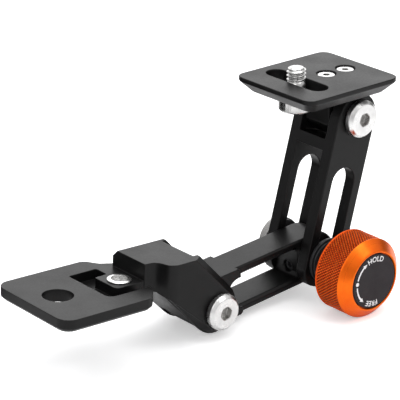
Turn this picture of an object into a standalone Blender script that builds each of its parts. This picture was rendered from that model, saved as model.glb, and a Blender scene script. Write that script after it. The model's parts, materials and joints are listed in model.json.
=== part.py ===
"""Folding two-arm swivel bracket: foot plate with a clevis, slotted lower arm,
slotted upper arm clamped by one knob, tilting head plate with a camera screw.

Frame: origin on the centre line of the foot plate's underside, ORIGIN_X from the
centre of its round mounting hole.  Dimensions are drawn from the hole's centre.
+X runs along the lower arm, away from the foot plate's free end, +Z is the foot
plate's normal, and the knob is on the -Y side.  Lengths below are millimetres.
In piece names "near" is the -Y side and "far" the +Y side.
"""
import math
from contextlib import contextmanager

import bmesh
import bpy
from mathutils import Matrix, Vector

MM = 0.001
SEG = 48                 # default steps round a turned piece

# ---------------------------------------------------------------- dimensions
# Foot plate
PLATE_T = 4.1            # thickness
PLATE_W = 36.0           # width
PLATE_X0 = -10.5         # free end
PLATE_X1 = 21.4          # where the full width ends
PLATE_R = 4.5            # corner radius at the free end
PLATE_CH = 1.1           # chamfer round the underside
PLATE_CH_END = 26.9      # the chamfer stops short of this x
POCKET_WEB = 0.8         # floor left under the pocket
POCKET_TOP = 6.5         # the pocket's cutter ends above the plate
ORIGIN_X = 8.4           # origin, from the mounting hole's centre
HOLE_Y, HOLE_R = -0.1, 4.95
INSERT_X, INSERT_Y = 22.9, -0.9
INSERT_BORE_R = 3.35
# Neck block and clevis
ARM_Y = -1.4             # mid plane of the clevis and of both arms
BLOCK_X = 28.6           # end of the block towards the mounting hole
BLOCK_TOP = 9.7
BLOCK_SLOPE = 44.5       # degrees, underside of the neck
BLOCK_CH = 2.2
BLOCK_CH_START = 29.5    # the chamfer on the slopes lies beyond this x
CLEVIS_HALF = 11.2       # outer faces of the clevis, from the arm plane
CLEVIS_GAP = 7.75        # inner faces of the clevis, from the arm plane
CLEVIS_R = 8.5           # round end of the cheeks
CLEVIS_DEPTH = 9.1       # floor of the gap, from the lower pivot
# Joint axes (x, z); every pivot runs along Y at the arm plane
LOWER_PIVOT = (54.5, -9.7)
CLAMP_AXIS = (101.0, -3.2)
TOP_PIVOT = (111.3, 44.1)
# Pivot hardware
PIVOT_BORE_R = 3.15
BOLT_R = 2.95
RING_BORE_R = 3.2        # bore of washers, bushings and the knob's hub
FIT = 0.1                # clearance between neighbours
WASHER_R = 6.2
NUT_FLATS = 10.0
NUT_TOP = 3.3            # outer face of a nut, from the face it sits on
NUT_CH = 0.45
BOLT_END = 3.2           # end of a pivot bolt, beyond the far face
# Lower arm
LOW_H = 16.0             # height at the clamp end
LOW_HALF = 5.85          # half width
LOW_CH = 0.5
LOW_ROOT_HALF = 7.0      # half width of the root
LOW_ROOT_L = 13.2        # root length from the pivot
LOW_ROOT_R = 8.25        # round end of the root
LOW_ROOT_UP = 0.3        # how far that round sits above the pivot
LOW_ROOT_CUT = (0.9, 0.7)  # cut corners of the root, along and across
LOW_SLOT_H = 10.5
LOW_SLOT_A = 7.6         # slot ends, from the lower pivot
LOW_SLOT_B = 39.3
LOW_SLOT_CH = 0.9        # chamfer round the slot
END_BORE_R = 4.25
GRUB_DZ = -2.9           # set screw below the arm's middle
GRUB_R, GRUB_HOLE_R = 1.85, 2.0
SLEEVE_R, SLEEVE_HALF = 4.1, 5.75
# Upper arm
UP_D = 17.0              # depth
UP_HALF = 10.3           # half width
UP_CH = 2.0              # chamfers along the arm
UP_END_R = 8.15          # round end at the top pivot
UP_SHOULDER = 1.0        # full depth starts here, below the top pivot
UP_CORNER_R = 6.0        # corners of the lower end
UP_GAP = 6.1             # inner faces of the cheeks, from the arm plane
UP_FLOOR = 8.7           # fork floor below the top pivot
UP_BRIDGE = 12.6         # underside of the bridge below the top pivot
UP_SLOT_W = 10.0
UP_SLOT_TOP = 17.0       # top of the slots below the top pivot
UP_TAIL = 9.4            # bottom of the arm below the clamp axis
# Head plate
HEAD_L, HEAD_W, HEAD_T = 40.0, 36.0, 5.0
HEAD_EDGE = 1.4          # straight part of the edge
HEAD_INSET = 3.3         # how far the bevel runs in
HEAD_R = 3.6             # corner radius
HEAD_TILT = 3.0          # degrees the head plate rises towards +X at rest
HEAD_C = (101.95, 57.08)  # x, z of the top face's centre
SCREW_DX, SCREW_DY = -7.9, 1.5   # camera screw from the top face's centre
SLOT_DY = 1.2            # slot's middle from the arm plane
SLOT_CC, SLOT_W = 19.4, 7.0
CAP_DX = (3.95, 12.4)    # the two cap screws from the top face's centre
CAP_BORE_R, CAP_SEAT_R, CAP_SEAT_Z, CAP_TAP_R = 1.75, 3.3, -3.1, 1.5
KN_R = 8.3               # half depth of the knuckle
KN_HALF = 5.4            # half width of the knuckle
KN_TOP_GAP = 0.15        # between the knuckle and the head plate
# Camera screw, z from the head plate's top face
THREAD_PITCH = 1.27
THREAD_TOP = 4.05
THREAD_CRESTS = 3
# Knob, measured along -Y from the arm plane
KNOB_R = 13.4
KNOB_BACK, KNOB_FRONT = 18.6, 33.0
LABEL_R = 9.3

LOW_A = math.atan2(CLAMP_AXIS[1] - LOWER_PIVOT[1], CLAMP_AXIS[0] - LOWER_PIVOT[0])
LOW_LEN = math.dist(CLAMP_AXIS, LOWER_PIVOT)
UP_A = math.atan2(TOP_PIVOT[0] - CLAMP_AXIS[0], TOP_PIVOT[1] - CLAMP_AXIS[1])
UP_LEN = math.dist(TOP_PIVOT, CLAMP_AXIS)

# Cutter spans along local Z, with room at both ends
ACROSS = (-20, 20)
THROUGH_PLATE = (-2, 7)
THROUGH_HEAD = (-8, 3)

SIDES = (("near", 1), ("far", -1))   # name and sign along -Y

# kind: (base colour, roughness, metallic)
FINISH = {
    "black_anodised": ((0.022, 0.021, 0.022), 0.42, 0.6),
    "steel": ((0.72, 0.72, 0.71), 0.22, 1.0),
    "orange_anodised": ((0.85, 0.17, 0.012), 0.35, 0.8),
    "black_steel": ((0.03, 0.03, 0.032), 0.35, 0.8),
    "brass": ((0.62, 0.45, 0.17), 0.3, 1.0),
    "nylon": ((0.05, 0.05, 0.055), 0.6, 0.0),
    "label": ((0.018, 0.017, 0.018), 0.5, 0.0),
}
SHARP_ANGLE = math.radians(32)

# ---------------------------------------------------------------- scene set-up
for old in list(bpy.data.objects):
    bpy.data.objects.remove(old, do_unlink=True)
for old in list(bpy.data.collections):
    bpy.data.collections.remove(old)

PARTS = bpy.data.collections.new("swivel_bracket")
TOOLS = bpy.data.collections.new("cutters")
bpy.context.scene.collection.children.link(PARTS)
bpy.context.scene.collection.children.link(TOOLS)


# ---------------------------------------------------------------- outlines
def arc(cx, cy, radius, start, end, steps):
    """Points from angle start to angle end, in degrees."""
    angles = [math.radians(start + (end - start) * k / steps) for k in range(steps + 1)]
    return [(cx + radius * math.cos(w), cy + radius * math.sin(w)) for w in angles]


def rounded(corners, steps=5):
    """Outline from (x, y) or (x, y, radius) corners, each radius turned into an arc."""
    outline = []
    for i, (x, y, *rest) in enumerate(corners):
        corner = Vector((x, y))
        if not rest or rest[0] <= 0:
            outline.append(tuple(corner))
            continue
        radius = rest[0]
        back = (Vector(corners[i - 1][:2]) - corner).normalized()
        ahead = (Vector(corners[(i + 1) % len(corners)][:2]) - corner).normalized()
        half_angle = math.acos(back.dot(ahead)) / 2
        reach = radius / math.tan(half_angle)
        centre = corner + (back + ahead).normalized() * (radius / math.sin(half_angle))
        first = corner + back * reach - centre
        last = corner + ahead * reach - centre
        start = math.atan2(first.y, first.x)
        turn = math.atan2(first.x * last.y - first.y * last.x, first.dot(last))
        outline += arc(centre.x, centre.y, radius, math.degrees(start),
                       math.degrees(start + turn), steps)
    return outline


def stadium(x0, x1, radius):
    return arc(x1, 0, radius, -90, 90, 12) + arc(x0, 0, radius, 90, 270, 12)


def hexagon(across_flats, turn=0.0):
    return arc(0, 0, across_flats / math.sqrt(3), turn, turn + 300, 5)


# ---------------------------------------------------------------- mesh helpers
@contextmanager
def editing(mesh):
    """Open a mesh as a BMesh and write it back at the end."""
    edit = bmesh.new()
    edit.from_mesh(mesh)
    yield edit
    edit.to_mesh(mesh)
    edit.free()


def add_mesh(name, mesh, home):
    piece = bpy.data.objects.new(name, mesh)
    home.objects.link(piece)
    return piece


def evaluated_mesh(source):
    bpy.context.view_layer.update()
    depsgraph = bpy.context.evaluated_depsgraph_get()
    return bpy.data.meshes.new_from_object(source.evaluated_get(depsgraph))


def bake(piece):
    """Apply the object's modifiers and keep its place."""
    mesh = evaluated_mesh(piece)
    before = piece.data
    piece.modifiers.clear()
    piece.data = mesh
    bpy.data.meshes.remove(before)
    return piece


def prism(name, outline, lo, hi, home=PARTS):
    """Flat outline in XY, filled and extruded from z = lo to z = hi."""
    curve = bpy.data.curves.new(name, "CURVE")
    curve.dimensions = "2D"
    curve.fill_mode = "BOTH"
    curve.extrude = (hi - lo) / 2 * MM
    spline = curve.splines.new("POLY")
    spline.points.add(len(outline) - 1)
    for point, (x, y) in zip(spline.points, outline):
        point.co = (x * MM, y * MM, 0, 1)
    spline.use_cyclic_u = True
    source = bpy.data.objects.new(name + "_outline", curve)
    TOOLS.objects.link(source)
    mesh = evaluated_mesh(source)
    bpy.data.objects.remove(source, do_unlink=True)
    bpy.data.curves.remove(curve)
    with editing(mesh) as edit:
        bmesh.ops.remove_doubles(edit, verts=edit.verts, dist=1e-6)
        bmesh.ops.translate(edit, verts=edit.verts, vec=(0, 0, (lo + hi) / 2 * MM))
        bmesh.ops.dissolve_limit(edit, angle_limit=0.001, verts=edit.verts, edges=edit.edges)
        bmesh.ops.recalc_face_normals(edit, faces=edit.faces)
    mesh.name = name
    return add_mesh(name, mesh, home)


def disc(name, radius, lo, hi, at=(0, 0), steps=SEG, home=PARTS):
    """Cylinder along local Z from lo to hi."""
    mesh = bpy.data.meshes.new(name)
    with editing(mesh) as edit:
        bmesh.ops.create_cone(edit, cap_ends=True, segments=steps, radius1=radius * MM,
                              radius2=radius * MM, depth=(hi - lo) * MM)
        bmesh.ops.translate(edit, verts=edit.verts,
                            vec=(at[0] * MM, at[1] * MM, (lo + hi) / 2 * MM))
    return add_mesh(name, mesh, home)


def turned(name, profile, steps=SEG):
    """Profile of (radius, z) running down the outside; turned about local Z."""
    mesh = bpy.data.meshes.new(name)
    count = len(profile)
    edges = [(i, i + 1) for i in range(count - 1)]
    if min(radius for radius, _ in profile) > 1e-6:
        edges.append((count - 1, 0))     # the piece has a bore
    mesh.from_pydata([(radius * MM, 0, z * MM) for radius, z in profile], edges, [])
    piece = add_mesh(name, mesh, PARTS)
    screw = piece.modifiers.new("turn", "SCREW")
    screw.axis = "Z"
    screw.angle = math.tau
    screw.steps = steps
    screw.render_steps = steps
    screw.use_merge_vertices = True
    screw.merge_threshold = 0.00001
    return bake(piece)


def combine(piece, other, operation):
    """Exact Boolean of piece with other; other is used up."""
    boolean = piece.modifiers.new("bool", "BOOLEAN")
    boolean.operation = operation
    boolean.solver = "EXACT"
    boolean.object = other
    bake(piece)
    bpy.data.objects.remove(other, do_unlink=True)
    with editing(piece.data) as edit:
        bmesh.ops.remove_doubles(edit, verts=edit.verts, dist=2e-6)
        bmesh.ops.dissolve_limit(edit, angle_limit=0.002, verts=edit.verts, edges=edit.edges)


def cut_prism(piece, outline, lo, hi):
    cutter = prism(piece.name + "_cutter", outline, lo, hi, TOOLS)
    combine(piece, cutter, "DIFFERENCE")


def drill(piece, radius, lo, hi, at=(0, 0), steps=SEG, frame=None):
    cutter = disc(piece.name + "_drill", radius, lo, hi, at, steps, TOOLS)
    if frame is not None:
        cutter.matrix_world = frame
    combine(piece, cutter, "DIFFERENCE")


def cut_box(piece, lo, hi):
    """Cut away the box between two opposite corners."""
    mesh = bpy.data.meshes.new("box")
    with editing(mesh) as edit:
        bmesh.ops.create_cube(edit, size=1.0)
        bmesh.ops.scale(edit, verts=edit.verts, vec=[(h - l) * MM for l, h in zip(lo, hi)])
        bmesh.ops.translate(edit, verts=edit.verts,
                            vec=[(h + l) / 2 * MM for l, h in zip(lo, hi)])
    combine(piece, add_mesh("box", mesh, TOOLS), "DIFFERENCE")


def chamfer(piece, test, width, clamp=True):
    """Chamfer the edges whose two end points pass the test, in local millimetres."""
    with editing(piece.data) as edit:
        picked = [e for e in edit.edges
                  if e.is_manifold and e.calc_face_angle(0) > 0.5
                  and test(e.verts[0].co / MM, e.verts[1].co / MM)]
        bmesh.ops.bevel(edit, geom=picked, offset=width * MM, offset_type="OFFSET", segments=1,
                        profile=0.5, affect="EDGES", clamp_overlap=clamp)
        bmesh.ops.remove_doubles(edit, verts=edit.verts, dist=1e-6)
        bmesh.ops.recalc_face_normals(edit, faces=edit.faces)


def on_faces(start, end, height):
    """True for an edge lying in the face at z = height or z = -height."""
    return abs(abs(start.z) - height) < 1e-3 and abs(start.z - end.z) < 1e-3


def finish(piece, kind, frame=None):
    """Material, place and shading of a finished piece."""
    if frame is not None:
        piece.matrix_world = frame
    color, roughness, metallic = FINISH[kind]
    material = bpy.data.materials.new(piece.name + "_" + kind)
    material.use_nodes = True
    shader = material.node_tree.nodes["Principled BSDF"]
    shader.inputs["Base Color"].default_value = (*color, 1.0)
    shader.inputs["Roughness"].default_value = roughness
    shader.inputs["Metallic"].default_value = metallic
    material.diffuse_color = (*color, 1.0)
    piece.data.materials.clear()
    piece.data.materials.append(material)
    piece.data.shade_smooth()
    piece.data.set_sharp_from_angle(angle=SHARP_ANGLE)


def ring(name, outer, bore, span, kind, frame, steps=SEG):
    """Plain ring between the two z values of span, finished and placed."""
    lo, hi = sorted(span)
    piece = turned(name, [(outer, hi), (outer, lo), (bore, lo), (bore, hi)], steps)
    finish(piece, kind, frame)


# ---------------------------------------------------------------- frames
def side_frame(x, z, angle=0.0):
    """Local X runs at the angle above +X, local Y across it (up), local Z along -Y."""
    c, s = math.cos(angle), math.sin(angle)
    return Matrix(((c, -s, 0, x * MM), (0, 0, -1, ARM_Y * MM), (s, c, 0, z * MM), (0, 0, 0, 1)))


LOW_FRAME = side_frame(*LOWER_PIVOT, LOW_A)
CLAMP_FRAME = side_frame(*CLAMP_AXIS)
# Local X runs from the top pivot down the arm; local Y points to the arm's +X side
UP_FRAME = Matrix((
    (-math.sin(UP_A), math.cos(UP_A), 0, TOP_PIVOT[0] * MM),
    (0, 0, -1, ARM_Y * MM),
    (-math.cos(UP_A), -math.sin(UP_A), 0, TOP_PIVOT[1] * MM),
    (0, 0, 0, 1)))
# Origin at the top face's centre, X along the plate, Z its normal
TILT = math.radians(HEAD_TILT)
HEAD_FRAME = Matrix((
    (math.cos(TILT), 0, -math.sin(TILT), HEAD_C[0] * MM),
    (0, 1, 0, ARM_Y * MM),
    (math.sin(TILT), 0, math.cos(TILT), HEAD_C[1] * MM),
    (0, 0, 0, 1)))
CAM_FRAME = HEAD_FRAME @ Matrix.Translation((SCREW_DX * MM, SCREW_DY * MM, 0))
# Top pivot in the head frame, in millimetres
HEAD_PIVOT = HEAD_FRAME.inverted() @ Vector(
    (TOP_PIVOT[0] * MM, ARM_Y * MM, TOP_PIVOT[1] * MM)) / MM


# ---------------------------------------------------------------- foot bracket
def neck_block():
    """Block and clevis cheeks: a side outline trimmed by a plan outline."""
    cheek = arc(*LOWER_PIVOT, CLEVIS_R, -90 - BLOCK_SLOPE, 45, 14)
    (low_x, low_z), (high_x, high_z) = cheek[0], cheek[-1]
    # both slopes leave the round end along its tangent
    under_x = low_x + low_z / math.tan(math.radians(BLOCK_SLOPE))
    top_x = high_x + high_z - BLOCK_TOP
    side = [(BLOCK_X, BLOCK_TOP), (BLOCK_X, 0), (under_x, 0)] + cheek + [(top_x, BLOCK_TOP)]
    block = prism("neck_block", side, -CLEVIS_HALF, CLEVIS_HALF, TOOLS)

    def outer_edge(start, end):
        if not on_faces(start, end, CLEVIS_HALF):
            return False
        if min(start.y, end.y) > BLOCK_TOP - 0.01:
            return start.z < 0           # of the two top edges, only the far one
        at_bottom = abs(start.y) < 0.01 and abs(end.y) < 0.01
        return min(start.x, end.x) > BLOCK_CH_START and not at_bottom

    chamfer(block, outer_edge, BLOCK_CH)
    block.matrix_world = side_frame(0, 0)

    far_y, near_y = ARM_Y + CLEVIS_HALF, ARM_Y - CLEVIS_HALF
    margin = 0.4
    # (x, y): curved flank on the near side, clear of the block elsewhere
    plan = rounded([
        (BLOCK_X, far_y + margin), (BLOCK_X, -6.2), (30.4, -6.3), (31.9, -6.75), (32.9, -7.7),
        (33.4, -8.8), (33.7, -9.9), (34.3, -11.1), (35.4, -12.1), (36.9, near_y),
        (38.4, near_y - margin), (70.0, near_y - margin), (70.0, far_y + margin)])
    combine(block, prism("neck_plan", plan, -30, 20, TOOLS), "INTERSECT")
    return block


def build_foot():
    half = PLATE_W / 2
    # (x, y, corner radius)
    outline = rounded([
        (PLATE_X0, -half, PLATE_R), (PLATE_X1 + 0.9, -half, 4.0), (26.8, -12.9, 2.0),
        (27.3, -10.0), (27.3, -6.0), (33.0, -6.0), (33.0, 9.6), (29.4, 11.4, 3.0),
        (26.0, 13.4, 3.0), (PLATE_X1 + 1.6, half, 3.5), (PLATE_X0, half, PLATE_R)])
    foot = prism("base_bracket", outline, 0, PLATE_T)
    chamfer(foot, lambda start, end: on_faces(start, end, 0)
            and max(start.x, end.x) < PLATE_CH_END, PLATE_CH, clamp=False)
    combine(foot, neck_block(), "UNION")

    # Pocket round the tongue, with a thin web left under it: (x, y, corner radius)
    pocket = rounded([
        (11.7, 10.3, 0.8), (11.7, -10.4, 2.6), (28.4, -10.4), (28.4, -6.15),
        (17.8, -6.05, 1.6), (17.8, 4.8, 0.4), (22.6, 4.9, 0.8), (22.6, 10.4, 0.8)])
    cut_prism(foot, pocket, POCKET_WEB, POCKET_TOP)
    drill(foot, HOLE_R, *THROUGH_PLATE, at=(0, HOLE_Y))
    drill(foot, INSERT_BORE_R, *THROUGH_PLATE, at=(INSERT_X, INSERT_Y), steps=32)
    # Room between the clevis cheeks for the lower arm's root
    cut_box(foot, (LOWER_PIVOT[0] - CLEVIS_DEPTH, ARM_Y - CLEVIS_GAP, -40),
            (90, ARM_Y + CLEVIS_GAP, 30))
    drill(foot, PIVOT_BORE_R, *ACROSS, steps=32, frame=side_frame(*LOWER_PIVOT))
    finish(foot, "black_anodised")


def build_foot_insert():
    """Insert in the tongue: flange on top, bore right through."""
    top = PLATE_T + 0.6
    seat = PLATE_T + FIT
    insert = turned("base_thread_insert", [
        (3.5, top), (3.9, PLATE_T + 0.4), (3.9, seat), (3.15, seat), (3.15, 0.4),
        (2.55, 0.4), (2.55, top)], 32)
    finish(insert, "steel", Matrix.Translation((INSERT_X * MM, INSERT_Y * MM, 0)))


# ---------------------------------------------------------------- lower arm
def lay_in_grub_hole(piece):
    """Turn a piece from local Z to local X and drop it to the set screw's height."""
    piece.data.transform(Matrix.Translation((0, GRUB_DZ * MM, 0))
                         @ Matrix.Rotation(math.radians(90), 4, "Y"))


def root_outline(round_end):
    """Root whose edges follow the arm's slight taper and end in cut corners."""
    def taper(x, root_y, clamp_y):
        return root_y + (clamp_y - root_y) * x / LOW_LEN

    upper = (LOW_ROOT_UP + LOW_ROOT_R, LOW_H / 2)
    lower = (LOW_ROOT_UP - LOW_ROOT_R, -LOW_H / 2)
    along, across = LOW_ROOT_CUT
    cut_x = LOW_ROOT_L - along
    return round_end + [
        (cut_x, taper(cut_x, *lower)), (LOW_ROOT_L, taper(LOW_ROOT_L, *lower) + across),
        (LOW_ROOT_L, taper(LOW_ROOT_L, *upper) - across), (cut_x, taper(cut_x, *upper))]


def slot_rim(slot, sign):
    """Cutter for the chamfer round the slot, wide at the face on the given side."""
    middle = (LOW_SLOT_A + LOW_SLOT_B) / 2
    half_l, half_h = (LOW_SLOT_B - LOW_SLOT_A) / 2, LOW_SLOT_H / 2
    overrun = 0.6
    grow = LOW_SLOT_CH + overrun
    rim = prism("slot_rim", slot, LOW_HALF - LOW_SLOT_CH, LOW_HALF + overrun, TOOLS)
    with editing(rim.data) as edit:
        for vert in edit.verts:
            if vert.co.z > LOW_HALF * MM:
                offset = vert.co.x / MM - middle
                vert.co.x = (middle + offset * (half_l + grow) / half_l) * MM
                vert.co.y *= (half_h + grow) / half_h
            vert.co.z *= sign
        bmesh.ops.recalc_face_normals(edit, faces=edit.faces)
    return rim


def build_lower_link():
    round_end = arc(0, LOW_ROOT_UP, LOW_ROOT_R, 90, 270, 16)
    link = prism("lower_link", arc(LOW_LEN, 0, LOW_H / 2, -90, 90, 16) + round_end,
                 -LOW_HALF, LOW_HALF)
    chamfer(link, lambda start, end: on_faces(start, end, LOW_HALF), LOW_CH)
    root = prism("root", root_outline(round_end), -LOW_ROOT_HALF, LOW_ROOT_HALF, TOOLS)
    combine(link, root, "UNION")

    half_h = LOW_SLOT_H / 2
    slot = rounded([(LOW_SLOT_A, -half_h, 4.6), (LOW_SLOT_B, -half_h, 1.6),
                    (LOW_SLOT_B, half_h, 1.8), (LOW_SLOT_A, half_h, 4.6)], 7)
    cut_prism(link, slot, *ACROSS)
    for _, sign in SIDES:
        combine(link, slot_rim(slot, sign), "DIFFERENCE")
    drill(link, PIVOT_BORE_R, *ACROSS, steps=32)
    drill(link, END_BORE_R, *ACROSS, at=(LOW_LEN, 0), steps=32)
    # Set screw hole between the slot and the clamp bore
    hole = disc("grub_hole", GRUB_HOLE_R, LOW_SLOT_B - 2, LOW_LEN - 3.2, steps=24, home=TOOLS)
    lay_in_grub_hole(hole)
    combine(link, hole, "DIFFERENCE")
    finish(link, "black_anodised", LOW_FRAME)


def build_grub_screw():
    grub = disc("lower_link_grub_screw", GRUB_R, LOW_SLOT_B + 0.7, LOW_LEN - 4.4, steps=24)
    cut_prism(grub, hexagon(2.0), LOW_SLOT_B - 2, LOW_SLOT_B + 2.0)
    lay_in_grub_hole(grub)
    finish(grub, "black_steel", LOW_FRAME)


# ---------------------------------------------------------------- pivot hardware
def build_pivot(prefix, pivot, face, cheek, core, head_r):
    """Low-head bolt, thin nut and two friction washers on a pivot.

    From the arm plane: face is the outer face, cheek the fork's inner face and
    core the face of the piece turning inside the fork.
    """
    frame = side_frame(*pivot)
    end = face + BOLT_END
    bolt = turned(prefix + "_bolt", [
        (0, face + 3.35), (head_r - 1.0, face + 3.35), (head_r, face + 2.3),
        (head_r, face + 0.75), (head_r - 0.5, face + FIT), (BOLT_R, face + FIT),
        (BOLT_R, -end + 0.4), (2.55, -end), (0, -end)])
    cut_prism(bolt, hexagon(4.0, 12), face + 1.3, face + 6)
    finish(bolt, "steel", frame)

    nut_top = face + NUT_TOP
    nut = prism(prefix + "_nut", hexagon(NUT_FLATS, 10), -nut_top, -(face + FIT))
    drill(nut, 3.1, -30, 0, steps=32)
    chamfer(nut, lambda start, end: on_faces(start, end, nut_top)
            and min(start.xy.length, end.xy.length) > NUT_FLATS / 2, NUT_CH)
    finish(nut, "steel", frame)

    for side, sign in SIDES:
        ring(f"{prefix}_washer_{side}", WASHER_R, RING_BORE_R,
             (sign * (core + FIT), sign * (cheek - FIT)), "nylon", frame, 32)


# ---------------------------------------------------------------- upper arm
def build_upper_link():
    bottom = UP_LEN + UP_TAIL
    half = UP_D / 2
    outline = rounded([(UP_SHOULDER, half)] + arc(0, 0, UP_END_R, 115, 245, 14) + [
        (UP_SHOULDER, -half), (bottom, -half, UP_CORNER_R), (bottom, half, UP_CORNER_R)])
    link = prism("upper_link", outline, -UP_HALF, UP_HALF)
    chamfer(link, lambda start, end: on_faces(start, end, UP_HALF)
            and abs(abs(start.y) - half) < 1e-3 and abs(abs(end.y) - half) < 1e-3, UP_CH)
    # Fork for the knuckle above the bridge, channel for the lower arm below it
    cut_box(link, (-20, -20, -UP_GAP), (UP_FLOOR, 20, UP_GAP))
    cut_box(link, (UP_BRIDGE, -20, -UP_GAP), (90, 20, UP_GAP))
    slot_r = UP_SLOT_W / 2
    cut_prism(link, stadium(UP_SLOT_TOP + slot_r, UP_LEN + 0.1, slot_r), *ACROSS)
    drill(link, PIVOT_BORE_R, *ACROSS, steps=32)
    finish(link, "black_anodised", UP_FRAME)


# ---------------------------------------------------------------- clamp
def build_clamp():
    ring("clamp_sleeve", SLEEVE_R, RING_BORE_R, (-SLEEVE_HALF, SLEEVE_HALF), "brass",
         side_frame(*CLAMP_AXIS, LOW_A), 32)

    # Bolt with its head on the far side
    bolt = turned("clamp_bolt", [
        (0, 30.2), (2.6, 30.2), (BOLT_R, 29.7), (BOLT_R, -(UP_HALF + 1.3)),
        (7.7, -(UP_HALF + 1.3)), (7.7, -(UP_HALF + 4.0)), (6.6, -(UP_HALF + 4.9)),
        (0, -(UP_HALF + 4.9))])
    cut_prism(bolt, hexagon(5.0), -20, -(UP_HALF + 2.6))
    finish(bolt, "steel", CLAMP_FRAME)

    for (side, sign), outer in zip(SIDES, (7.6, 7.35)):
        ring("clamp_washer_" + side, outer, RING_BORE_R,
             (sign * (UP_HALF + 0.15), sign * (UP_HALF + 1.15)), "black_steel", CLAMP_FRAME)
        ring("slot_bushing_" + side, 4.85, RING_BORE_R,
             (sign * (UP_GAP + FIT), sign * (UP_HALF - FIT)), "black_steel", CLAMP_FRAME)

    # (radius, z above the upper arm's near face)
    spring_profile = ((4.4, 2.5), (6.9, 1.85), (6.9, 1.3), (4.4, 1.95), (3.3, 2.25), (3.3, 2.8))
    spring = turned("clamp_spring_washer", [(r, UP_HALF + z) for r, z in spring_profile])
    finish(spring, "black_steel", CLAMP_FRAME)


def build_knob():
    """Hub behind, orange grip, brass thread, black face disc."""
    hub_back = UP_HALF + 3.0
    hub = turned("knob_hub", [
        (6.4, 26.0), (6.4, 18.3), (7.2, 18.3), (7.2, hub_back + 0.6), (6.6, hub_back),
        (RING_BORE_R, hub_back), (RING_BORE_R, 20.6), (5.0, 20.6), (5.0, 26.0)])
    finish(hub, "black_anodised", CLAMP_FRAME)

    grip = turned("knob_body", [
        (9.6, 31.6), (9.6, KNOB_FRONT), (10.1, KNOB_FRONT), (KNOB_R - 0.2, 30.0),
        (KNOB_R, 29.7), (KNOB_R, KNOB_BACK + 0.8), (KNOB_R - 0.8, KNOB_BACK),
        (6.65, KNOB_BACK), (6.65, 26.3), (3.3, 26.3), (3.3, 30.6), (5.2, 30.6), (5.2, 31.6)], 64)
    finish(grip, "orange_anodised", CLAMP_FRAME)

    ring("knob_thread_insert", 4.8, 3.1, (20.9, 25.9), "brass", CLAMP_FRAME, 32)

    label_top = KNOB_FRONT + 0.05
    label = turned("knob_label_disc", [
        (0, label_top), (LABEL_R - 0.3, label_top), (LABEL_R, KNOB_FRONT - 0.25),
        (LABEL_R, 31.8), (0, 31.8)])
    finish(label, "label", CLAMP_FRAME)


# ---------------------------------------------------------------- head
def build_top_plate():
    half_l, half_w = HEAD_L / 2, HEAD_W / 2
    plate = prism("top_plate", rounded([
        (-half_l, -half_w, HEAD_R), (half_l, -half_w, HEAD_R),
        (half_l, half_w, HEAD_R), (-half_l, half_w, HEAD_R)]), -HEAD_T, 0)
    # Bevel below the straight edge: split the sides, then draw the underside in
    with editing(plate.data) as edit:
        bmesh.ops.bisect_plane(edit, geom=edit.verts[:] + edit.edges[:] + edit.faces[:],
                               dist=1e-7, plane_co=(0, 0, -HEAD_EDGE * MM), plane_no=(0, 0, 1))
        for vert in edit.verts:
            if vert.co.z < -HEAD_T * MM * 0.99:
                vert.co.x *= (half_l - HEAD_INSET) / half_l
                vert.co.y *= (half_w - HEAD_INSET) / half_w
        bmesh.ops.recalc_face_normals(edit, faces=edit.faces)

    # Slot along Y for the camera screw
    along_x = stadium(SLOT_DY - SLOT_CC / 2, SLOT_DY + SLOT_CC / 2, SLOT_W / 2)
    cut_prism(plate, [(SCREW_DX - y, x) for x, y in along_x], *THROUGH_HEAD)
    for cap_x in CAP_DX:
        drill(plate, CAP_BORE_R, *THROUGH_HEAD, at=(cap_x, 0), steps=24)
        drill(plate, CAP_SEAT_R, CAP_SEAT_Z, THROUGH_HEAD[1], at=(cap_x, 0), steps=32)
    finish(plate, "black_anodised", HEAD_FRAME)


def build_knuckle():
    """Block under the plate with a round underside about the top pivot."""
    top_z = -HEAD_T - KN_TOP_GAP
    # (distance from the pivot along X, drop below it), one half of the underside
    under = [(KN_R, 2.2), (KN_R - 0.5, 3.0), (5.4, 6.1), (3.2, 7.6)]
    below = [(-x, drop) for x, drop in under] + [(0, 8.1)] + under[::-1]
    side = [(HEAD_PIVOT.x + KN_R, top_z), (HEAD_PIVOT.x - KN_R, top_z)]
    side += [(HEAD_PIVOT.x + x, HEAD_PIVOT.z - drop) for x, drop in below]
    upright = Matrix.Rotation(math.radians(90), 4, "X")
    knuckle = prism("top_knuckle", side, -KN_HALF, KN_HALF)
    knuckle.data.transform(upright)
    pivot_place = Matrix.Translation((HEAD_PIVOT.x * MM, 0, HEAD_PIVOT.z * MM))
    drill(knuckle, PIVOT_BORE_R, *ACROSS, steps=32, frame=pivot_place @ upright)
    for cap_x in CAP_DX:
        drill(knuckle, CAP_TAP_R, HEAD_PIVOT.z + 3.6, -HEAD_T + 2, at=(cap_x, 0), steps=24)
    finish(knuckle, "black_anodised", HEAD_FRAME)


def build_cap_screws():
    end = HEAD_PIVOT.z + 4.3
    for side, cap_x in zip(("left", "right"), CAP_DX):
        screw = turned("plate_screw_" + side, [
            (0, -0.4), (2.75, -0.4), (3.0, -0.65), (3.0, -2.95), (1.35, -2.95),
            (1.35, end), (0, end)], 32)
        cut_prism(screw, hexagon(2.0, 15), -1.7, 1)
        finish(screw, "steel", HEAD_FRAME @ Matrix.Translation((cap_x * MM, 0, 0)))


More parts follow.
